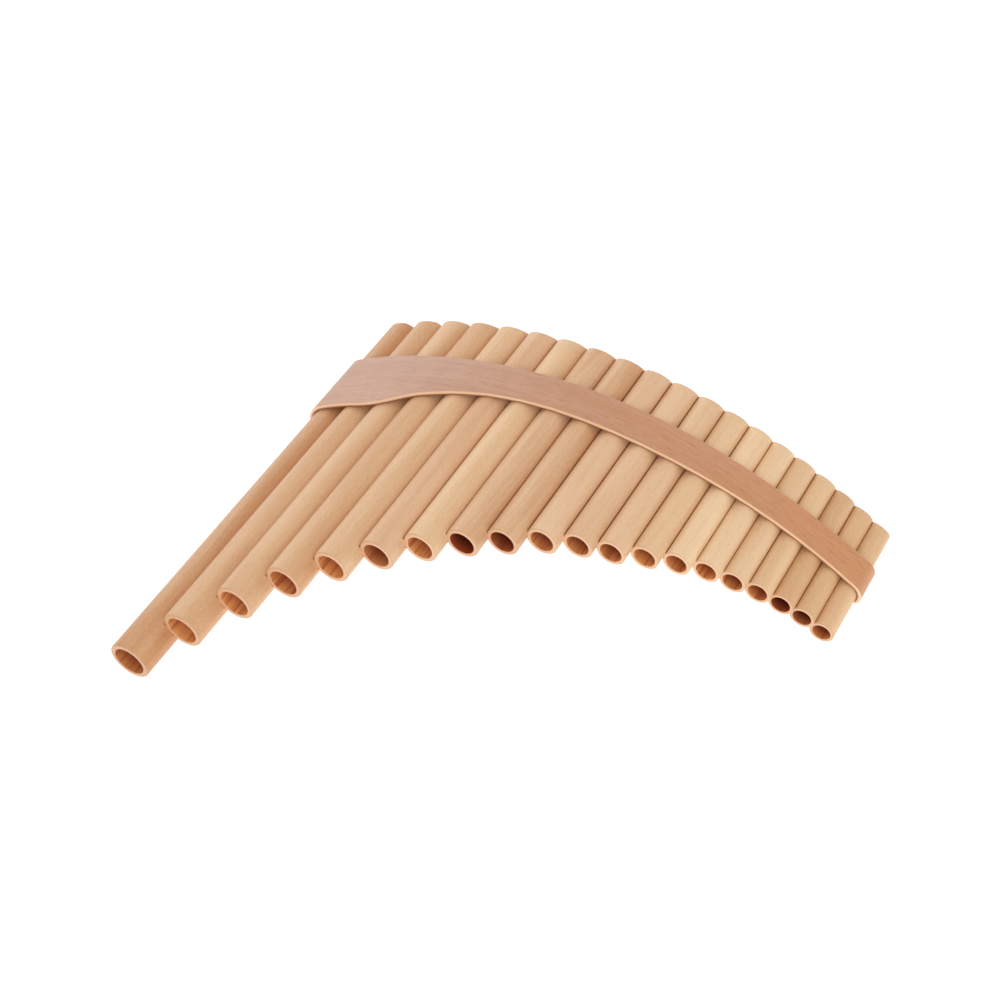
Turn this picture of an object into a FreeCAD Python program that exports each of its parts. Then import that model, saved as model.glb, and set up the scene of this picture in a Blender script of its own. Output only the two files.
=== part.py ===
"""Pan flute: twenty stopped wooden pipes glued into an arched raft, under one bent-wood band.

Millimetres.  The flute lies on a table with its arched front up: +X runs from the bass pipe
to the treble pipe, +Y runs along the pipes towards their blow ends, +Z is up.  The origin is
at table level, under the centre of the flute's outer box.
"""
import FreeCAD, Part
import math
import os

Vector = FreeCAD.Vector

# ---- Driving dimensions ------------------------------------------------------------------
# A curve is a tuple of factors of 1, u, u^2, ... where u runs from -1 at the bass pipe
# to +1 at the treble pipe.
PIPE_COUNT = 20
OUTER_RADIUS_CURVE = (7.41, -2.06, 0.45)
WALL_CURVE = (1.96, -0.44)
LENGTH_CURVE = (110.3, -70.6, 28.5, -11.6, 11.0)
SAWN_EXTRA = {2: 0.7, 10: -0.8, 12: 1.6, 13: 0.8, 15: -0.6}   # pipes sawn off the curve by hand

ARCH_ANGLE_CURVE = (0.0, -38.0, 7.4, 5.3)   # slope from one pipe to the next, degrees
PLANED_SPACING = 0.95                       # centre distance over the sum of the two radii

BLOW_ROUND_SHARE = 0.5                      # outer rounding of a blow end, share of the wall
FOOT_ROUND_SHARE = 0.3                      # outer rounding of a foot, share of the wall
BORE_BREAK = 0.25                           # small chamfer of both inner rims
BEVEL_SLOPE = 0.52                          # front bevel of the blow ends: rise per depth
BEVEL_CUT_BACK_CURVE = (3.8, -1.44, -2.25, 2.23)   # of the front edge, from the blow plane

LOWEST_NOTE_HZ = 392.0                      # G4
MAJOR_SCALE = (0, 2, 4, 5, 7, 9, 11)        # semitones of the seven notes of an octave
SOUND_SPEED = 343000.0                      # mm/s in room air
END_CORRECTION = 0.6                        # of the bore's diameter, at the blown end

STOPPER_LENGTH = 9.0
STOPPER_CLEARANCE = 0.04                    # radial, in the bore
STOPPER_BREAK = 0.5                         # chamfer of both stopper faces

BAND_THICKNESS = 2.3
BAND_WRAP_BASS = 34.0                       # how far each end reaches below horizontal, degrees
BAND_WRAP_TREBLE = 42.0
# Band edges: across the flute (X), and back from the blow ends.
BAND_FAR_EDGE = ((-142.0, 33.9), (0.0, 31.0), (142.0, 24.8))
BAND_NEAR_EDGE = (
    (-142.0, 73.9),
    (-126.0, 70.1),
    (-108.0, 69.8),
    (-98.0, 68.0),
    (-88.0, 63.2),
    (-72.0, 57.9),
    (-50.0, 53.4),
    (-20.0, 50.4),
    (20.0, 48.5),
    (60.0, 46.0),
    (104.0, 42.7),
    (142.0, 41.8),
)


# ---- Helpers -----------------------------------------------------------------------------
def curve(factors, u):
    """Value at u of the polynomial with these factors."""
    return sum(factor * u ** power for power, factor in enumerate(factors))


def place_in_row(index):
    """u of a pipe, or of the joint between two pipes when index is a half."""
    middle = (PIPE_COUNT - 1) / 2.0
    return (index - middle) / middle


def note_hz(index):
    """Pitch of a pipe: a major scale upwards from the lowest note."""
    octave, step = divmod(index, len(MAJOR_SCALE))
    semitones = 12 * octave + MAJOR_SCALE[step]
    return LOWEST_NOTE_HZ * 2.0 ** (semitones / 12.0)


def polar(radius, degrees):
    """Vector in the XZ plane."""
    angle = math.radians(degrees)
    return Vector(radius * math.cos(angle), 0.0, radius * math.sin(angle))


# ---- Layout of the raft ------------------------------------------------------------------
class Pipe:
    """Numbers of one pipe; centre is its axis in the XZ plane, front points out of the arch."""

    def __init__(self, index):
        u = place_in_row(index)
        self.number = index + 1
        self.radius = curve(OUTER_RADIUS_CURVE, u)
        self.wall = curve(WALL_CURVE, u)
        self.bore = self.radius - self.wall
        self.length = curve(LENGTH_CURVE, u) + SAWN_EXTRA.get(self.number, 0.0)
        self.air = SOUND_SPEED / (4.0 * note_hz(index)) - END_CORRECTION * 2.0 * self.bore
        self.cut_back = curve(BEVEL_CUT_BACK_CURVE, u)
        self.centre = Vector(0.0, 0.0, 0.0)
        self.front = Vector(0.0, 0.0, 1.0)
        self.flats = []


def lay_out_arch(pipes):
    """Walk along the arch, turn it so that both end pipes lie on the table, and centre it."""
    for index in range(1, PIPE_COUNT):
        before = pipes[index - 1]
        step = PLANED_SPACING * (before.radius + pipes[index].radius)
        slope = curve(ARCH_ANGLE_CURVE, place_in_row(index - 0.5))
        pipes[index].centre = before.centre + polar(step, slope)

    first = pipes[0]
    last = pipes[-1]
    span = last.centre - first.centre
    chord_slope = math.degrees(math.atan2(span.z, span.x))
    wanted_slope = math.degrees(math.asin((last.radius - first.radius) / span.Length))
    turn = FreeCAD.Rotation(Vector(0, -1, 0), wanted_slope - chord_slope)
    for pipe in pipes:
        pipe.centre = turn.multVec(pipe.centre)

    left = first.centre.x - first.radius
    right = last.centre.x + last.radius
    table = first.centre.z - first.radius
    for pipe in pipes:
        pipe.centre -= Vector((left + right) / 2.0, 0.0, table)


def find_fronts(pipes):
    """Each pipe's front looks square out of the line through its neighbours."""
    for index, pipe in enumerate(pipes):
        before = pipes[max(index - 1, 0)]
        after = pipes[min(index + 1, PIPE_COUNT - 1)]
        along = after.centre - before.centre
        pipe.front = Vector(-along.z, 0.0, along.x).normalize()


def find_flats(pipes):
    """Each pair of neighbours meets in the plane through the two lines where they would cross."""
    for left, right in zip(pipes[:-1], pipes[1:]):
        across = right.centre - left.centre
        gap = across.Length
        to_plane = (gap ** 2 + left.radius ** 2 - right.radius ** 2) / (2.0 * gap)
        direction = across / gap
        left.flats.append((direction, to_plane))
        right.flats.append((-direction, gap - to_plane))


# ---- Pipes and stoppers ------------------------------------------------------------------
def turned(profile, centre, blow_plane):
    """Solid turned about a pipe's axis from (radius, distance back from the blow end) edges."""
    axis_start = Vector(centre.x, blow_plane, centre.z)
    wire = Part.Wire(profile)
    wire.translate(axis_start)
    return Part.Face(wire).revolve(axis_start, Vector(0, 1, 0), 360)


def rounding(start, corner, end):
    """Quarter arc from start to end that rounds off the corner between them."""
    middle = corner + ((start + end) / 2.0 - corner) * (2.0 - math.sqrt(2.0))
    return Part.Arc(start, middle, end).toShape()


def pipe_profile(pipe):
    """Half section of a tube, with both outer rims rounded and both inner rims chamfered."""
    outer = pipe.radius
    inner = pipe.bore
    foot = -pipe.length
    blow_round = BLOW_ROUND_SHARE * pipe.wall
    foot_round = FOOT_ROUND_SHARE * pipe.wall
    points = [
        Vector(inner + BORE_BREAK, 0, 0),
        Vector(outer - blow_round, 0, 0),
        Vector(outer, -blow_round, 0),
        Vector(outer, foot + foot_round, 0),
        Vector(outer - foot_round, foot, 0),
        Vector(inner + BORE_BREAK, foot, 0),
        Vector(inner, foot + BORE_BREAK, 0),
        Vector(inner, -BORE_BREAK, 0),
    ]
    edges = []
    for number, (start, end) in enumerate(zip(points, points[1:] + points[:1])):
        if number == 1:
            edges.append(rounding(start, Vector(outer, 0, 0), end))
        elif number == 3:
            edges.append(rounding(start, Vector(outer, foot, 0), end))
        else:
            edges.append(Part.LineSegment(start, end).toShape())
    return edges


def block_beyond(point, normal, size):
    """Cube on the far side of the plane through a point."""
    block = Part.makeBox(size, size, size, Vector(0, -size / 2.0, -size / 2.0))
    block.Placement = FreeCAD.Placement(point, FreeCAD.Rotation(Vector(1, 0, 0), normal))
    return block


def make_pipe(pipe, blow_plane):
    """One tube, bevelled at the front of its blow end and planed flat against its neighbours."""
    size = 3.0 * pipe.length
    start = Vector(pipe.centre.x, blow_plane, pipe.centre.z)
    tube = turned(pipe_profile(pipe), pipe.centre, blow_plane)
    front_edge = start + pipe.front * pipe.radius - Vector(0, pipe.cut_back, 0)
    bevel_normal = (Vector(0, 1, 0) + pipe.front * BEVEL_SLOPE).normalize()
    tube = tube.cut(block_beyond(front_edge, bevel_normal, size))
    for direction, distance in pipe.flats:
        tube = tube.cut(block_beyond(start + direction * distance, direction, size))
    return tube


def make_stopper(pipe, blow_plane):
    """Cork plug; its upper face closes the air column."""
    radius = pipe.bore - STOPPER_CLEARANCE
    top = blow_plane - pipe.air
    start = Vector(pipe.centre.x, top - STOPPER_LENGTH, pipe.centre.z)
    plug = Part.makeCylinder(radius, STOPPER_LENGTH, start, Vector(0, 1, 0))
    rims = [edge for edge in plug.Edges if isinstance(edge.Curve, Part.Circle)]
    return plug.makeChamfer(STOPPER_BREAK, rims)


# ---- Band --------------------------------------------------------------------------------
def tangent_angles(pipes):
    """Direction of each stretch's outward normal, with the two wrapped ends added."""
    angles = [180.0 + BAND_WRAP_BASS]
    for left, right in zip(pipes[:-1], pipes[1:]):
        across = right.centre - left.centre
        slope = math.degrees(math.atan2(across.z, across.x))
        lean = math.degrees(math.asin((left.radius - right.radius) / across.Length))
        angles.append(slope + 90.0 - lean)
    angles.append(-BAND_WRAP_TREBLE)
    return angles


def belt_edges(pipes, angles, offset):
    """Arcs over the pipes and straight runs between them, at an offset from the pipes."""
    edges = []
    end_before = None
    for pipe, start, end in zip(pipes, angles[:-1], angles[1:]):
        radius = pipe.radius + offset
        first = pipe.centre + polar(radius, start)
        middle = pipe.centre + polar(radius, (start + end) / 2.0)
        last = pipe.centre + polar(radius, end)
        if end_before is not None:
            edges.append(Part.LineSegment(end_before, first).toShape())
        edges.append(Part.Arc(first, middle, last).toShape())
        end_before = last
    return edges


def band_outline(blow_plane):
    """Plan view of the band: a nearly straight far edge and an S-shaped near edge."""
    far = [Vector(x, blow_plane - back, 0) for x, back in BAND_FAR_EDGE]
    near = [Vector(x, blow_plane - back, 0) for x, back in BAND_NEAR_EDGE]
    far_edge = Part.Arc(*far).toShape()
    near_spline = Part.BSplineCurve()
    near_spline.interpolate(near)
    left_end = Part.LineSegment(far[0], near[0]).toShape()
    right_end = Part.LineSegment(near[-1], far[-1]).toShape()
    return Part.Face(Part.Wire([left_end, near_spline.toShape(), right_end, far_edge]))


def make_band(pipes, blow_plane):
    """Bent strip: the belt's section run along Y and trimmed to the outline."""
    angles = tangent_angles(pipes)
    inner = belt_edges(pipes, angles, 0.0)
    outer = belt_edges(pipes, angles, BAND_THICKNESS)
    caps = []
    for end, angle in ((0, angles[0]), (-1, angles[-1])):
        pipe = pipes[end]
        low = pipe.centre + polar(pipe.radius, angle)
        high = pipe.centre + polar(pipe.radius + BAND_THICKNESS, angle)
        caps.append(Part.LineSegment(low, high).toShape())
    section = Part.Face(Part.Wire(inner + [caps[1]] + outer[::-1] + [caps[0]]))
    section.translate(Vector(0, -blow_plane, 0))
    strip = section.extrude(Vector(0, 2.0 * blow_plane, 0))
    height = 4.0 * max(pipe.centre.z for pipe in pipes)
    outline = band_outline(blow_plane)
    outline.translate(Vector(0, 0, -height / 2.0))
    return strip.common(outline.extrude(Vector(0, 0, height)))


# ---- Whole flute -------------------------------------------------------------------------
def single_solid(shape):
    """The one solid that a boolean result holds."""
    assert len(shape.Solids) == 1, "expected one solid"
    solid = shape.Solids[0]
    assert solid.isValid(), "solid is not valid"
    return solid


def main():
    os.makedirs("parts", exist_ok=True)
    pipes = [Pipe(index) for index in range(PIPE_COUNT)]
    lay_out_arch(pipes)
    find_fronts(pipes)
    find_flats(pipes)
    blow_plane = pipes[0].length / 2.0

    shapes = {}
    for pipe in pipes:
        shapes["pipe_%02d" % pipe.number] = make_pipe(pipe, blow_plane)
        shapes["stopper_%02d" % pipe.number] = make_stopper(pipe, blow_plane)
    shapes["bent_wood_band"] = make_band(pipes, blow_plane)

    for name, shape in shapes.items():
        single_solid(shape).exportStep("parts/%s.step" % name)


main()
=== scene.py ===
"""Looks of the pan flute: turned maple pipes, a bent-wood band, cork stoppers and a white studio.

Metres, in the frame of the CAD part: the flute lies on the floor at z = 0, bass pipe towards -X,
blow ends towards +Y, arched front up.  Places and sizes of its pieces are read from the frame.
"""
import math
import random

import bpy
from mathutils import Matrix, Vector, noise
from mathutils.bvhtree import BVHTree


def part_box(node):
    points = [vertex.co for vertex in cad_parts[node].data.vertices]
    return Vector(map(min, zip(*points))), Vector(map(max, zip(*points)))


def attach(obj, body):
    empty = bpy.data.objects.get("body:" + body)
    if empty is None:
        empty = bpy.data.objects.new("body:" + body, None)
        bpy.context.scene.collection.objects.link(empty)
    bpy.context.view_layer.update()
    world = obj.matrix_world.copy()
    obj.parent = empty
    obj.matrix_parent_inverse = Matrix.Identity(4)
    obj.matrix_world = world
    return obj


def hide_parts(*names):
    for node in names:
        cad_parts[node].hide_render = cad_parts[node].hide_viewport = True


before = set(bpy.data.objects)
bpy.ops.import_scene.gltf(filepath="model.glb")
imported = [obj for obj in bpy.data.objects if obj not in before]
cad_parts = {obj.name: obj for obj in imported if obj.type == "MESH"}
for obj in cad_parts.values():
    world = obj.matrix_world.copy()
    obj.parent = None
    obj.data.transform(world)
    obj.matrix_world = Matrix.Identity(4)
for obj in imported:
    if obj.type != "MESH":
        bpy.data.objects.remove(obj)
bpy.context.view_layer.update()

MM = 0.001
PIPE_COUNT = 20
STOPPER_CLEARANCE = 0.04 * MM       # radial, between a stopper and its bore
BEVEL_SLOPE = 0.52                  # front bevel of the blow ends: rise per depth

# ---- Detail of the meshes ----------------------------------------------------------------
AROUND = 96                         # points round a pipe
RING_STEP = 6.0 * MM                # length between rings on the straight walls
ROUNDING_STEPS = 8
BLOW_ROUND_SHARE = 0.5              # outer rounding of a blow end, share of the wall
FOOT_ROUND_SHARE = 0.3              # outer rounding of a foot
BORE_BREAK = 0.25 * MM              # rounding of both inner rims
BEVEL_FADE = 12.0 * MM              # length of wall that follows the bevel's slope
TURNING_WOBBLE = 0.03 * MM          # hand-sanded unevenness of the outside
WOBBLE_INWARD = 0.6                 # it takes wood away more than it leaves some on
WOBBLE_ALONG = 12                   # its waves along a pipe, per metre
WOBBLE_SHIFT = 3.7                  # its step from pipe to pipe, so that no two are alike
END_GRAIN_INSIDE = 0.3              # share of end grain where an inner rim meets the bore
FACET_ANGLE = math.radians(16.5)    # edges sharper than this stay crisp
GROOVE_SHADE_SHARES = (1.0, 0.45)            # share of painted shade at a groove's bottom and at the next point up
GROOVE_SHADE_END = 0.2 * MM                 # how fast that painted shade ends at a neighbour's foot
BORE_SHADE_DEPTH = 1.25             # from the foot to the full painted shade of a bore, in bore radii
BORE_SHADE_STEPS = 4                # extra rings over that stretch

BAND_CORNER = 0.45 * MM             # rounding of the band's edges and ends
BAND_CORNER_STEPS = 5
BAND_END_CLOSE = 0.98               # share of a corner that an end takes off, so points stay apart
BAND_ACROSS_STEPS = 8
BAND_RUN_STEPS = 4                  # between two pipes
BAND_ARC_STEP = math.radians(6)     # over a pipe
OUTSIDE = 1.0                       # distance from the origin that is clear of the whole flute

CORK_AROUND = 48
CORK_BREAK = 0.5 * MM               # rounding of a stopper's rims
CORK_CRUMBLE = 0.12 * MM            # deepest crumb missing from its faces
CORK_CRUMBS = 900                   # crumbs per metre

# ---- Stage --------------------------------------------------------------------------------
CAMERA_PLACE = (0.2566, -0.4379, 0.6577)
CAMERA_TURN = (40.87, 0.87, 29.82)  # degrees about X, Y and Z
CAMERA_SENSOR = 36.0                # millimetres, as the lens
CAMERA_LENS = 65.9
BACK_WINDOW = ("back_window", (-1.1, 0.8, 0.5), 1.3, 4.0)           # name, place, size, watts
FRONT_SOFT_BOX = ("front_soft_box", (0.6, -1.2, 1.0), 1.2, 6.5)
WORLD_STRENGTH = 0.72
WHITE = (1, 1, 1, 1)
FLOOR_REACH = 12.0                  # from the middle to each side
FLOOR_GREY = (0.3, 0.3, 0.3, 1)     # paper that still shows a soft shadow under its own glow
FLOOR_ROUGHNESS = 0.9
FLOOR_GLOW = 0.95

# ---- Tones of the pipes, bass to treble ---------------------------------------------------
# lightness (0 dark to 1 light, below 0 darker still), warmth (-1 pink to +1 yellow),
# strength of the figure, darkness of the bore and of its painted shade
PIPE_TONES = (
    (-0.45, 0.2, 1.0, 0.75),
    (0.05, 0.0, 0.3, 0.20),
    (0.18, 0.0, 0.3, 0.25),
    (0.05, 0.1, 0.5, 0.50),
    (0.38, 0.1, 0.4, 0.20),
    (0.25, -0.4, 0.5, 0.70),
    (0.55, 0.2, 0.2, 0.30),
    (0.27, -0.1, 0.9, 1.00),
    (0.10, 0.0, 0.8, 0.92),
    (0.60, -0.4, 0.3, 0.60),
    (0.55, -0.3, 0.4, 0.60),
    (0.65, -0.2, 0.3, 0.60),
    (0.66, 0.4, 0.3, 0.35),
    (1.00, 0.0, 0.2, 0.40),
    (1.00, 0.0, 0.2, 0.30),
    (0.68, 0.2, 0.3, 0.60),
    (0.55, 0.5, 0.3, 0.55),
    (0.27, 0.4, 0.7, 0.97),
    (0.20, 0.8, 0.6, 0.88),
    (0.34, 0.5, 0.4, 0.65),
)


def srgb(red, green, blue):
    """Linear colour from an 8-bit display colour."""
    def linear(value):
        value /= 255.0
        return value / 12.92 if value <= 0.04045 else ((value + 0.055) / 1.055) ** 2.4
    return (linear(red), linear(green), linear(blue), 1.0)


def blend_colours(a, b, share):
    return tuple(x + (y - x) * share for x, y in zip(a, b))


# ---- Numbers read from the frame ----------------------------------------------------------
class PipeSize:
    """Axis, radii, ends, front direction and planed flats of one pipe."""

    def __init__(self, number):
        self.number = number
        self.name = "pipe_%02d" % number
        self.stopper = "stopper_%02d" % number
        low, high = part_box(self.stopper)
        self.x = (low.x + high.x) / 2
        self.z = (low.z + high.z) / 2
        self.bore = (high.x - low.x) / 2 + STOPPER_CLEARANCE
        self.stopper_low, self.stopper_high = low.y, high.y
        low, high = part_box(self.name)
        self.foot, self.blow = low.y, high.y
        self.points = [p.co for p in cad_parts[self.name].data.vertices]
        self.radius = max(math.hypot(p.x - self.x, p.z - self.z) for p in self.points)
        self.wall = self.radius - self.bore
        self.flats = []

    def look_square_out(self, before, after):
        """Front direction, and the bevel plane's height over the blow plane at the axis."""
        self.front = math.atan2(after.x - before.x, before.z - after.z)
        self.bevel = max(
            p.y - self.blow + BEVEL_SLOPE * self.depth(p.x - self.x, p.z - self.z)
            for p in self.points
        )

    def depth(self, x, z):
        """How far a place beside the axis lies towards the front."""
        return x * math.cos(self.front) + z * math.sin(self.front)


def read_pipes():
    pipes = [PipeSize(number) for number in range(1, PIPE_COUNT + 1)]
    for left, right in zip(pipes[:-1], pipes[1:]):
        dx, dz = right.x - left.x, right.z - left.z
        gap = math.hypot(dx, dz)
        to_plane = (gap ** 2 + left.radius ** 2 - right.radius ** 2) / (2 * gap)
        angle = math.atan2(dz, dx)
        left.flats.append((angle, to_plane, right))
        right.flats.append((angle + math.pi, gap - to_plane, left))
    for index, pipe in enumerate(pipes):
        before = pipes[max(index - 1, 0)]
        after = pipes[min(index + 1, PIPE_COUNT - 1)]
        pipe.look_square_out(before, after)
    return pipes


PIPES = read_pipes()


# ---- Mesh helpers -------------------------------------------------------------------------
def new_object(name, points, faces, material, body, node):
    """Smooth-shaded mesh piece that stands for a CAD node and rides on its body."""
    low = Vector([min(p[axis] for p in points) for axis in range(3)])
    high = Vector([max(p[axis] for p in points) for axis in range(3)])
    middle = (low + high) / 2
    mesh = bpy.data.meshes.new(name)
    mesh.from_pydata([Vector(p) - middle for p in points], [], faces)
    mesh.materials.append(material)
    mesh.shade_smooth()
    mesh.set_sharp_from_angle(angle=FACET_ANGLE)
    piece = bpy.data.objects.new(name, mesh)
    piece.location = middle
    bpy.context.scene.collection.objects.link(piece)
    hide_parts(node)
    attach(piece, body)
    return piece


def ring_faces(rings, around, closed):
    """Quads between successive rings of equal length; closed joins the last ring to the first."""
    faces = []
    count = rings if closed else rings - 1
    for ring in range(count):
        here = ring * around
        there = ((ring + 1) % rings) * around
        for step in range(around):
            after = (step + 1) % around
            faces.append((here + step, here + after, there + after, there + step))
    return faces


def add_value(piece, name, values):
    attribute = piece.data.attributes.new(name, "FLOAT", "POINT")
    attribute.data.foreach_set("value", values)


def arc_points(centre_r, centre_y, radius, start, end):
    """(r, y) points on an arc in a pipe's half section, angles in degrees."""
    points = []
    for step in range(ROUNDING_STEPS + 1):
        angle = math.radians(start + (end - start) * step / ROUNDING_STEPS)
        points.append((centre_r + radius * math.cos(angle), centre_y + radius * math.sin(angle)))
    return points


def wall_points(radius, start, end, stops=()):
    """(r, y) points along a straight wall, without its two ends, with extra rings at the stops."""
    count = max(2, round(abs(end - start) / RING_STEP))
    places = [start + (end - start) * step / count for step in range(1, count)]
    low, high = min(start, end), max(start, end)
    places += [stop for stop in stops if low < stop < high]
    places.sort(reverse=end < start)
    return [(radius, y) for y in places]


# ---- Materials ----------------------------------------------------------------------------
class Shader:
    """Builds one material's node tree."""

    def __init__(self, name):
        self.material = bpy.data.materials.new(name)
        self.material.use_nodes = True
        self.tree = self.material.node_tree
        self.surface = self.tree.nodes["Principled BSDF"]

    def node(self, kind, inputs=None, **settings):
        node = self.tree.nodes.new(kind)
        for key, value in settings.items():
            setattr(node, key, value)
        for key, value in (inputs or {}).items():
            self.feed(node.inputs[key], value)
        return node

    def feed(self, socket, value):
        if isinstance(value, bpy.types.NodeSocket):
            self.tree.links.new(value, socket)
        else:
            socket.default_value = value

    def math(self, operation, a, b=0.0):
        return self.node("ShaderNodeMath", {0: a, 1: b}, operation=operation).outputs[0]

    def scaled(self, vector, scale, offset=(0, 0, 0)):
        inputs = {"Vector": vector, "Scale": scale, "Location": offset}
        return self.node("ShaderNodeMapping", inputs).outputs[0]

    def noise(self, vector, scale, detail=2.0, roughness=0.5, distortion=0.0):
        inputs = {"Vector": vector, "Scale": scale, "Detail": detail, "Roughness": roughness}
        inputs["Distortion"] = distortion
        return self.node("ShaderNodeTexNoise", inputs).outputs["Fac"]

    def grain(self, place, waves, *shape):
        """Noise with its own number of waves per metre along each axis."""
        return self.noise(self.scaled(place, waves), 1.0, *shape)

    def spread(self, value, low, high, to_low=0.0, to_high=1.0):
        """Value taken from low..high to to_low..to_high, clamped, with soft ends."""
        inputs = {
            "Value": value,
            "From Min": low,
            "From Max": high,
            "To Min": to_low,
            "To Max": to_high,
        }
        return self.node("ShaderNodeMapRange", inputs, interpolation_type="SMOOTHSTEP").outputs[0]

    def mix(self, share, a, b):
        node = self.node("ShaderNodeMix", data_type="RGBA")
        self.feed(node.inputs[0], share)
        self.feed(node.inputs[6], a)
        self.feed(node.inputs[7], b)
        return node.outputs[2]

    def stain(self, colour, pattern, low, high, strength, tone):
        """Colour with a tone laid over it where the pattern is high."""
        return self.mix(self.spread(pattern, low, high, 0.0, strength), colour, tone)

    def attribute(self, name, output="Fac"):
        return self.node("ShaderNodeAttribute", attribute_name=name).outputs[output]

    def local(self):
        return self.node("ShaderNodeTexCoord").outputs["Object"]

    def bump(self, height, distance, strength=1.0, normal=None):
        inputs = {"Height": height, "Distance": distance, "Strength": strength}
        if normal is not None:
            inputs["Normal"] = normal
        return self.node("ShaderNodeBump", inputs).outputs[0]

    def finish(self, colour, roughness, normal, **constants):
        self.feed(self.surface.inputs["Base Color"], colour)
        self.feed(self.surface.inputs["Roughness"], roughness)
        self.feed(self.surface.inputs["Normal"], normal)
        for key, value in constants.items():
            self.surface.inputs[key.replace("_", " ")].default_value = value
        return self.material


MAPLE_DARK = srgb(222, 172, 126)
MAPLE_LIGHT = srgb(250, 214, 170)
MAPLE_BROWN = srgb(190, 124, 74)
MAPLE_PALE = srgb(254, 228, 192)
PINK = srgb(240, 192, 160)
YELLOW = srgb(244, 202, 144)
END_GRAIN_PALE = srgb(218, 178, 150)
END_GRAIN_BROWN = srgb(196, 142, 108)
BORE_PALE = srgb(255, 182, 112)
BORE_DARK = srgb(180, 84, 44)
# painted shade deep inside the bores
BORE_SHADE_RED = srgb(150, 30, 12)
BORE_SHADE_BLACK = srgb(60, 12, 8)
BORE_STREAK = srgb(150, 52, 24)
# painted shade: dark brown at the bottom of the grooves between pipes
GROOVE_SHADE_COLOUR = srgb(140, 70, 28)
BAND_PINK = srgb(206, 162, 138)
BAND_BROWN = srgb(194, 146, 118)
BAND_ORANGE = srgb(222, 152, 96)
BAND_TAN = srgb(208, 150, 112)
BAND_LINE = srgb(178, 116, 80)
BAND_STREAK = srgb(150, 92, 60)
BAND_FLECK = srgb(150, 98, 72)
# painted highlight: the pale colour of the band's cut faces
CUT_HIGHLIGHT = srgb(255, 216, 178)
CUT_STREAK = srgb(226, 168, 122)
CUT_SHADE = srgb(120, 66, 34)
CORK_LIGHT = srgb(206, 160, 112)
CORK_BROWN = srgb(160, 108, 66)
CORK_PORE = srgb(84, 48, 28)

GROWTH_RINGS = 2600.0               # radians of their wave per metre across the grain
GROWTH_PULL = 26.0                  # radians by which noise pulls them out of line
GROWTH_SLANT = 0.03                 # how little they change along the grain
CUT_SHADE_TOP = 0.25 * MM           # where painted shade starts to darken the cut face, from mid thickness
CUT_SHADE_BOTTOM = -0.6 * MM        # and where it is darkest


def growth_rings(shader, place, tilt):
    """Wave of growth rings that are cut nearly along the grain."""
    pull = shader.grain(place, (30, 3.5, 30), 2.0)
    sheets = shader.scaled(place, (math.cos(tilt), GROWTH_SLANT, math.sin(tilt)))
    across = shader.node("ShaderNodeVectorMath", {0: sheets, 1: (1, 1, 1)}, operation="DOT_PRODUCT")
    steps = shader.math("MULTIPLY", across.outputs["Value"], GROWTH_RINGS)
    phase = shader.math("ADD", steps, shader.math("MULTIPLY", pull, GROWTH_PULL))
    return shader.math("SINE", phase)


def end_grain_wood(shader, place, base):
    """Sawn rim with brown pores."""
    pores = shader.grain(place, (2300, 300, 2300), 2.0, 0.6)
    pale_end = blend_colours(base, END_GRAIN_PALE, 0.6)
    brown_end = blend_colours(base, END_GRAIN_BROWN, 0.4)
    return shader.mix(shader.spread(pores, 0.42, 0.75), pale_end, brown_end)


def bore_wood(shader, place, darkness):
    """Oiled bore: browner than the outside, streaked, with painted shade deepening from the foot."""
    mouth = blend_colours(BORE_PALE, BORE_DARK, darkness ** 3)
    deep = blend_colours(BORE_SHADE_RED, BORE_SHADE_BLACK, darkness ** 3)
    deep = blend_colours(mouth, deep, 0.35 + 0.6 * darkness)
    colour = shader.mix(shader.attribute("bore_shade_mask"), mouth, deep)
    streaks = shader.grain(place, (640, 24, 640), 3.0, 0.6)
    return shader.stain(colour, streaks, 0.44, 0.66, 0.6, BORE_STREAK)


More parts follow.
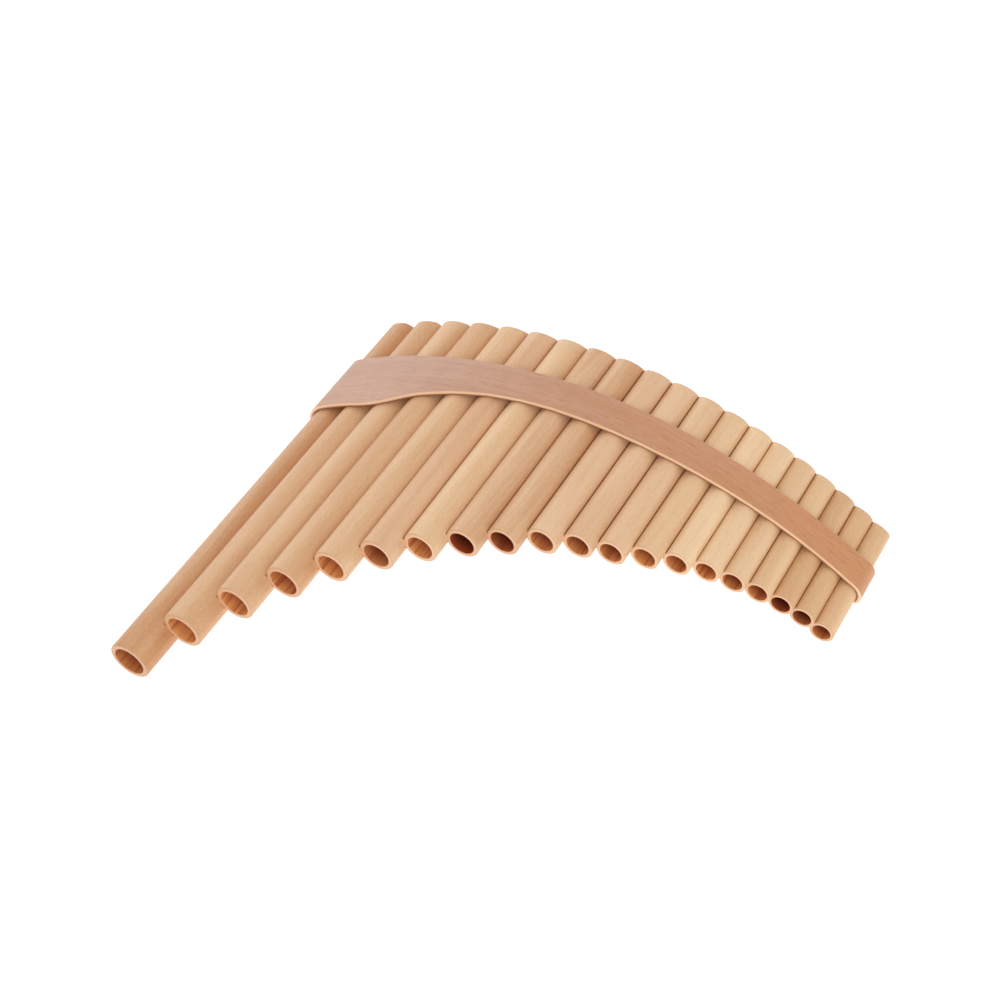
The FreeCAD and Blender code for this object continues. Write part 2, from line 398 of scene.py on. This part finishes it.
def maple(number):
    """Turned maple of one pipe: growth rings, fibres, flecks, end grain and an oiled bore."""
    light, warmth, figure, bore_dark = PIPE_TONES[number - 1]
    shader = Shader("maple_%02d" % number)
    draw = random.Random(number)
    place = shader.scaled(shader.local(), (1, 1, 1), [draw.uniform(-2, 2) for _ in range(3)])
    tilt = draw.uniform(0, math.pi)

    base = blend_colours(MAPLE_DARK, MAPLE_LIGHT, light)
    base = blend_colours(base, YELLOW if warmth > 0 else PINK, abs(warmth) * 0.5)
    darker = blend_colours(base, MAPLE_BROWN, 0.5)
    lighter = blend_colours(base, MAPLE_PALE, 0.45)

    # Broad lengthwise clouds, growth rings, fibres and short flecks.
    clouds = shader.grain(place, (90, 7, 90), 3.0, 0.55)
    colour = shader.mix(shader.spread(clouds, 0.36, 0.66), darker, lighter)
    colour = shader.mix(0.8 - 0.3 * figure, colour, base)
    rings = growth_rings(shader, place, tilt)
    colour = shader.stain(colour, rings, 0.2, 1.0, 0.02 + 0.2 * figure, darker)
    fibres = shader.grain(place, (1500, 40, 1500), 3.0, 0.65)
    colour = shader.stain(colour, fibres, 0.48, 0.78, 0.10 + 0.38 * figure, darker)
    flecks = shader.grain(place, (2400, 420, 2400), 1.0, 0.4)
    colour = shader.stain(colour, flecks, 0.54, 0.76, 0.16, MAPLE_BROWN)
    colour = shader.stain(colour, flecks, 0.46, 0.24, 0.16, MAPLE_PALE)

    # Sawn ends with a ring of painted shade halfway over their rounding, the bore, painted shade in
    # the grooves.
    end_grain = shader.attribute("end_grain")
    colour = shader.mix(end_grain, colour, end_grain_wood(shader, place, base))
    # painted shade: brown halfway over the rims' rounding
    rim_shade = shader.math("PINGPONG", end_grain, 0.5)
    colour = shader.stain(colour, rim_shade, 0.1, 0.5, 0.45, MAPLE_BROWN)
    colour = shader.mix(shader.attribute("bore"), colour, bore_wood(shader, place, bore_dark))
    # Painted shade at the bottom of the grooves, rough and without specular.
    groove_shade = shader.attribute("groove_shade")
    colour = shader.mix(groove_shade, colour, GROOVE_SHADE_COLOUR)

    rough = shader.math("MAXIMUM", shader.spread(fibres, 0.3, 0.8, 0.38, 0.54), groove_shade)
    shader.feed(shader.surface.inputs["Specular IOR Level"], shader.spread(groove_shade, 0.0, 1.0, 0.5, 0.0))
    grain = shader.bump(fibres, 0.05 * MM, 0.5)
    normal = shader.bump(flecks, 0.04 * MM, 0.5, grain)
    return shader.finish(colour, rough, normal, IOR=1.5)


def band_wood():
    """Steam-bent strip: long fine grain that follows the bend, pinkish brown and satin."""
    shader = Shader("band_wood")
    place = shader.attribute("grain", "Vector")     # along the strip, across it, out of it
    parts = shader.node("ShaderNodeSeparateXYZ", {0: place}).outputs
    clouds = shader.grain(place, (8, 90, 90), 3.0, 0.55)
    colour = shader.mix(shader.spread(clouds, 0.3, 0.72), BAND_PINK, BAND_BROWN)
    # painted sheen: paler pink at the bass end, orange towards the treble end
    colour = shader.stain(colour, parts["X"], 0.03, 0.30, 0.8, BAND_ORANGE)
    shades = shader.grain(place, (6, 30, 30), 2.0)
    colour = shader.stain(colour, shades, 0.35, 0.7, 0.3, BAND_TAN)
    lines = shader.grain(place, (30, 1100, 1100), 4.0, 0.6, 0.9)
    colour = shader.stain(colour, lines, 0.44, 0.72, 0.32, BAND_LINE)
    streaks = shader.grain(place, (170, 2200, 2200), 2.0, 0.6, 0.6)
    colour = shader.stain(colour, streaks, 0.52, 0.76, 0.45, BAND_STREAK)
    flecks = shader.grain(place, (420, 2600, 2600), 1.0, 0.5)
    colour = shader.stain(colour, flecks, 0.62, 0.78, 0.3, BAND_FLECK)

    # The cut face is painted pale as a highlight, and painted shade darkens it towards the pipes.
    cut_colour = shader.stain(CUT_HIGHLIGHT, streaks, 0.5, 0.8, 0.35, CUT_STREAK)
    cut_colour = shader.stain(cut_colour, parts["Z"], CUT_SHADE_TOP, CUT_SHADE_BOTTOM, 0.85, CUT_SHADE)
    colour = shader.mix(shader.attribute("cut_edge"), colour, cut_colour)
    rough = shader.spread(lines, 0.3, 0.8, 0.32, 0.46)
    normal = shader.bump(lines, 0.04 * MM, 0.5, shader.bump(streaks, 0.02 * MM, 0.5))
    return shader.finish(colour, rough, normal, IOR=1.5)


def cork():
    """Fine-grained stopper cork with dark pores."""
    shader = Shader("stopper_cork")
    place = shader.local()
    cells = shader.node("ShaderNodeTexVoronoi", {"Vector": place, "Scale": 900.0}).outputs["Distance"]
    clouds = shader.noise(place, 260.0, 4.0, 0.6)
    colour = shader.mix(shader.spread(clouds, 0.35, 0.7), CORK_LIGHT, CORK_BROWN)
    pits = shader.noise(place, 520.0, 2.0, 0.5)
    pit = shader.spread(pits, 0.62, 0.7)
    colour = shader.mix(pit, colour, CORK_PORE)
    height = shader.math("SUBTRACT", cells, pit)
    rough = shader.spread(clouds, 0.3, 0.7, 0.78, 0.92)
    return shader.finish(colour, rough, shader.bump(height, 0.15 * MM, 0.8))


# ---- Pipes --------------------------------------------------------------------------------
def pipe_section(pipe):
    """Half section as (r, y, end grain, bore) with y from the blow end, once round the wall."""
    outer, inner = pipe.radius, pipe.bore
    foot = pipe.foot - pipe.blow
    blow_round = BLOW_ROUND_SHARE * pipe.wall
    foot_round = FOOT_ROUND_SHARE * pipe.wall
    stops = []
    for _, _, neighbour in pipe.flats:
        neighbour_foot = neighbour.foot - pipe.blow
        stops += [neighbour_foot - GROOVE_SHADE_END, neighbour_foot + GROOVE_SHADE_END]
    section = []

    def add(points, end, bore):
        last = max(1, len(points) - 1)
        for step, (r, y) in enumerate(points):
            share = step / last
            end_share = end[0] + (end[1] - end[0]) * share
            bore_share = bore[0] + (bore[1] - bore[0]) * share
            section.append((r, y, end_share, bore_share))

    add(arc_points(outer - blow_round, -blow_round, blow_round, 90, 0), (1, 0), (0, 0))
    add(wall_points(outer, -blow_round, foot + foot_round, stops), (0, 0), (0, 0))
    add(arc_points(outer - foot_round, foot + foot_round, foot_round, 0, -90), (0, 1), (0, 0))
    foot_rim = arc_points(inner + BORE_BREAK, foot + BORE_BREAK, BORE_BREAK, -90, -180)
    add(foot_rim, (1, END_GRAIN_INSIDE), (0, 1))
    shade_reach = BORE_SHADE_DEPTH * inner
    shades = [foot + shade_reach * step / BORE_SHADE_STEPS for step in range(1, BORE_SHADE_STEPS + 1)]
    add(wall_points(inner, foot + BORE_BREAK, -BORE_BREAK, shades), (0, 0), (1, 1))
    blow_rim = arc_points(inner + BORE_BREAK, -BORE_BREAK, BORE_BREAK, 180, 90)
    add(blow_rim, (END_GRAIN_INSIDE, 1), (1, 0))
    return section


def angles_around(pipe):
    """Evenly spaced angles, the nearest ones moved onto the edges of the flats, and each angle's
    groove as (neighbour, share of painted shade)."""
    angles = [2 * math.pi * step / AROUND for step in range(AROUND)]
    groove_shades = [(None, 0.0)] * AROUND
    for flat_angle, distance, neighbour in pipe.flats:
        half = math.acos(distance / pipe.radius)
        for side in (-1, 1):
            edge = (flat_angle + side * half) % (2 * math.pi)
            nearest = round(edge / (2 * math.pi) * AROUND) % AROUND
            angles[nearest] = edge
            for step, share in enumerate(GROOVE_SHADE_SHARES):
                groove_shades[(nearest + side * step) % AROUND] = (neighbour, share)
    return angles, groove_shades


def limited_radius(pipe, radius, angle):
    """Radius at this angle once the flats are planed."""
    for flat_angle, distance, _ in pipe.flats:
        facing = math.cos(angle - flat_angle)
        if facing > 0:
            radius = min(radius, distance / facing)
    return radius


def bevel_drop(pipe, radius, angle, y):
    """How far the front bevel moves a point down the pipe; fades out along the wall."""
    cut = min(0.0, pipe.bevel - BEVEL_SLOPE * radius * math.cos(angle - pipe.front))
    share = 1.0 + (y + BLOW_ROUND_SHARE * pipe.wall) / BEVEL_FADE
    return cut * min(1.0, max(0.0, share))


def make_pipe(pipe):
    """Turned tube with planed flats, bevelled front and values for the material at each point."""
    section = pipe_section(pipe)
    angles, groove_shades = angles_around(pipe)
    points, ends, bores, bore_shade_masks, groove_shade_values = [], [], [], [], []
    for r, y, end, bore in section:
        for angle, (neighbour, stain) in zip(angles, groove_shades):
            around = math.cos(angle) + WOBBLE_SHIFT * pipe.number
            seed = Vector((around, y * WOBBLE_ALONG, math.sin(angle)))
            wobble = TURNING_WOBBLE * (noise.noise(seed) - WOBBLE_INWARD) * (1 - bore)
            radius = limited_radius(pipe, r + wobble, angle)
            x = pipe.x + radius * math.cos(angle)
            z = pipe.z + radius * math.sin(angle)
            points.append((x, pipe.blow + y + bevel_drop(pipe, radius, angle, y), z))
            ends.append(end)
            bores.append(bore)
            # painted bore shade grows with the depth from the foot
            bore_shade_masks.append(min(1.0, (pipe.blow + y - pipe.foot) / (BORE_SHADE_DEPTH * pipe.bore)))
            # painted groove shade only where the neighbour lies alongside
            touching = neighbour and pipe.blow + y > neighbour.foot and bore == 0 and end == 0
            groove_shade_values.append(stain if touching else 0.0)
    faces = ring_faces(len(section), AROUND, True)
    wood = maple(pipe.number)
    piece = new_object("turned_" + pipe.name, points, faces, wood, "raft", pipe.name)
    add_value(piece, "end_grain", ends)
    add_value(piece, "bore", bores)
    add_value(piece, "bore_shade_mask", bore_shade_masks)
    add_value(piece, "groove_shade", groove_shade_values)


# ---- Stoppers -----------------------------------------------------------------------------
def make_stopper(pipe, material):
    """Cork plug with softened rims and slightly crumbled faces."""
    radius = pipe.bore - STOPPER_CLEARANCE
    low, high = pipe.stopper_low, pipe.stopper_high
    inner = radius - CORK_BREAK
    section = [(share * inner, high) for share in (0.25, 0.5, 0.75, 1.0)]
    section += [(radius, high - CORK_BREAK)]
    section += [(radius, high + (low - high) * share) for share in (0.25, 0.5, 0.75)]
    section += [(radius, low + CORK_BREAK)]
    section += [(share * inner, low) for share in (1.0, 0.75, 0.5, 0.25)]
    points = []
    for r, y in section:
        for step in range(CORK_AROUND):
            angle = 2 * math.pi * step / CORK_AROUND
            spot = Vector((r * math.cos(angle), y, r * math.sin(angle)))
            seed = spot * CORK_CRUMBS + Vector((pipe.number, 0, 0))
            crumble = CORK_CRUMBLE * (0.5 + 0.5 * noise.noise(seed))
            inward = -1 if y == high else 1 if y == low else 0
            shrink = 1.0 if inward else 1.0 - crumble / radius
            points.append((pipe.x + spot.x * shrink, y + inward * crumble, pipe.z + spot.z * shrink))
    faces = ring_faces(len(section), CORK_AROUND, False)
    last = (len(section) - 1) * CORK_AROUND
    faces.append(tuple(range(CORK_AROUND))[::-1])
    faces.append(tuple(range(last, last + CORK_AROUND)))
    name = "cork_" + pipe.stopper
    new_object(name, points, faces, material, pipe.stopper, pipe.stopper)


# ---- Band ---------------------------------------------------------------------------------
class CadBand:
    """What the CAD band tells: its thickness, where it ends round the end pipes, its edges."""

    def __init__(self):
        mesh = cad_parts["bent_wood_band"].data
        points = [p.co.copy() for p in mesh.vertices]
        self.tree = BVHTree.FromPolygons(points, [tuple(face.vertices) for face in mesh.polygons])
        first, last = PIPES[0], PIPES[-1]
        left = [(p.x - first.x, p.z - first.z) for p in points if p.x < first.x and p.z < first.z]
        right = [(p.x - last.x, p.z - last.z) for p in points if p.x > last.x and p.z < last.z]
        self.start = max(math.atan2(z, x) % (2 * math.pi) for x, z in left)
        self.end = min(math.atan2(z, x) for x, z in right)
        self.thickness = max(math.hypot(x, z) for x, z in left) - first.radius

    def edges(self, x, z):
        """Near and far Y of the band along a line parallel to the pipes."""
        near = self.tree.ray_cast(Vector((x, -OUTSIDE, z)), Vector((0, 1, 0)))[0]
        far = self.tree.ray_cast(Vector((x, OUTSIDE, z)), Vector((0, -1, 0)))[0]
        return near.y, far.y


def straight_run(start, end, angle):
    """Points of the belt line between two pipes, without the two ends."""
    run = []
    for step in range(1, BAND_RUN_STEPS):
        share = step / BAND_RUN_STEPS
        x = start[0] + (end[0] - start[0]) * share
        z = start[1] + (end[1] - start[1]) * share
        run.append((x, z, angle))
    return run


def belt_line(band):
    """Middle line of the band as (x, z, outward angle): arcs over the pipes, straight between."""
    angles = [band.start]
    for left, right in zip(PIPES[:-1], PIPES[1:]):
        dx, dz = right.x - left.x, right.z - left.z
        lean = math.asin((left.radius - right.radius) / math.hypot(dx, dz))
        angles.append(math.atan2(dz, dx) + math.pi / 2 - lean)
    angles.append(band.end)
    angles[0] -= BAND_CORNER / PIPES[0].radius
    angles[-1] += BAND_CORNER / PIPES[-1].radius

    line = []
    for pipe, start, end in zip(PIPES, angles[:-1], angles[1:]):
        reach = pipe.radius + band.thickness / 2
        count = max(2, math.ceil(abs(end - start) / BAND_ARC_STEP))
        for step in range(count + 1):
            angle = start + (end - start) * step / count
            x = pipe.x + reach * math.cos(angle)
            z = pipe.z + reach * math.sin(angle)
            if line and step == 0:
                line += straight_run(line[-1], (x, z), angle)
            line.append((x, z, angle))
    return line


def band_profile(width, thickness, inset):
    """Rounded rectangle as (across, out, share of cut edge), drawn in by the inset all round."""
    across = width / 2 - BAND_CORNER
    out = thickness / 2 - BAND_CORNER
    corner = BAND_CORNER - inset
    points = []
    for side, level, start in ((1, 1, 0), (-1, 1, 90), (-1, -1, 180), (1, -1, 270)):
        for step in range(BAND_CORNER_STEPS + 1):
            angle = math.radians(start + 90 * step / BAND_CORNER_STEPS)
            point_across = side * across + corner * math.cos(angle)
            point_out = level * out + corner * math.sin(angle)
            points.append((point_across, point_out, abs(math.cos(angle))))
        if start in (0, 180):
            edge = side * across
            for step in range(1, BAND_ACROSS_STEPS):
                share = 1 - 2 * step / BAND_ACROSS_STEPS
                points.append((edge * share, level * (out + corner), 0.0))
    return points


def rounded_end(station, direction):
    """Stations that round off an end; direction is -1 before the start and +1 after the end."""
    x, z, angle, near, far, place, _ = station
    ends = []
    for step in range(1, BAND_CORNER_STEPS + 1):
        turn = math.radians(90 * step / BAND_CORNER_STEPS)
        ahead = direction * BAND_CORNER * math.sin(turn)
        inset = BAND_CORNER * (1 - math.cos(turn)) * BAND_END_CLOSE
        end_x = x + ahead * math.sin(angle)
        end_z = z - ahead * math.cos(angle)
        ends.append((end_x, end_z, angle, near, far, place + ahead, inset))
    return ends


def make_band():
    """Bent strip with rounded edges, run along the belt line between the CAD band's edges."""
    band = CadBand()
    stations = []
    along = 0.0
    before = None
    for x, z, angle in belt_line(band):
        along += math.hypot(x - before[0], z - before[1]) if before else 0.0
        before = (x, z)
        near, far = band.edges(x, z)
        stations.append((x, z, angle, near, far, along, 0.0))

    stations = rounded_end(stations[0], -1)[::-1] + stations + rounded_end(stations[-1], 1)
    points, cuts, grains = [], [], []
    for x, z, angle, near, far, place, inset in stations:
        middle = (near + far) / 2
        for across, out, cut in band_profile(far - near, band.thickness, inset):
            points.append((x + out * math.cos(angle), middle + across, z + out * math.sin(angle)))
            cuts.append(cut)
            grains += [place, middle + across, out]
    around = len(points) // len(stations)
    faces = ring_faces(len(stations), around, False)
    last = (len(stations) - 1) * around
    faces.append(tuple(range(around))[::-1])
    faces.append(tuple(range(last, last + around)))
    piece = new_object("bent_band", points, faces, band_wood(), "raft", "bent_wood_band")
    add_value(piece, "cut_edge", cuts)
    grain = piece.data.attributes.new("grain", "FLOAT_VECTOR", "POINT")
    grain.data.foreach_set("vector", grains)


# ---- Stage --------------------------------------------------------------------------------
def make_camera():
    camera = bpy.data.objects.new("camera", bpy.data.cameras.new("camera"))
    bpy.context.scene.collection.objects.link(camera)
    camera.data.sensor_width = CAMERA_SENSOR
    camera.data.lens = CAMERA_LENS
    camera.data.dof.use_dof = False
    camera.location = CAMERA_PLACE
    camera.rotation_euler = [math.radians(turn) for turn in CAMERA_TURN]
    bpy.context.scene.camera = camera


def area_light(name, place, size, power):
    """Round soft light that looks at the middle of the floor."""
    data = bpy.data.lights.new(name, "AREA")
    data.shape = "DISK"
    data.size = size
    data.energy = power
    light = bpy.data.objects.new(name, data)
    bpy.context.scene.collection.objects.link(light)
    light.location = place
    light.rotation_euler = (-Vector(place)).to_track_quat("-Z", "Y").to_euler()


def make_stage():
    """White surroundings, two soft lights and a glowing paper floor."""
    scene = bpy.context.scene
    scene.view_settings.view_transform = "Standard"
    world = bpy.data.worlds.new("studio")
    scene.world = world
    world.use_nodes = True
    world.node_tree.nodes["Background"].inputs["Color"].default_value = WHITE
    world.node_tree.nodes["Background"].inputs["Strength"].default_value = WORLD_STRENGTH
    area_light(*BACK_WINDOW)
    area_light(*FRONT_SOFT_BOX)

    reach = FLOOR_REACH
    corners = [(-reach, -reach, 0), (reach, -reach, 0), (reach, reach, 0), (-reach, reach, 0)]
    mesh = bpy.data.meshes.new("floor")
    mesh.from_pydata(corners, [], [(0, 1, 2, 3)])
    floor = bpy.data.objects.new("floor", mesh)
    scene.collection.objects.link(floor)
    shader = Shader("floor_paper")
    mesh.materials.append(shader.material)
    shader.surface.inputs["Base Color"].default_value = FLOOR_GREY
    shader.surface.inputs["Roughness"].default_value = FLOOR_ROUGHNESS
    shader.surface.inputs["Emission Color"].default_value = WHITE
    shader.surface.inputs["Emission Strength"].default_value = FLOOR_GLOW


def main():
    make_camera()
    make_stage()
    stopper_material = cork()
    for pipe in PIPES:
        make_pipe(pipe)
        make_stopper(pipe, stopper_material)
    make_band()


main()
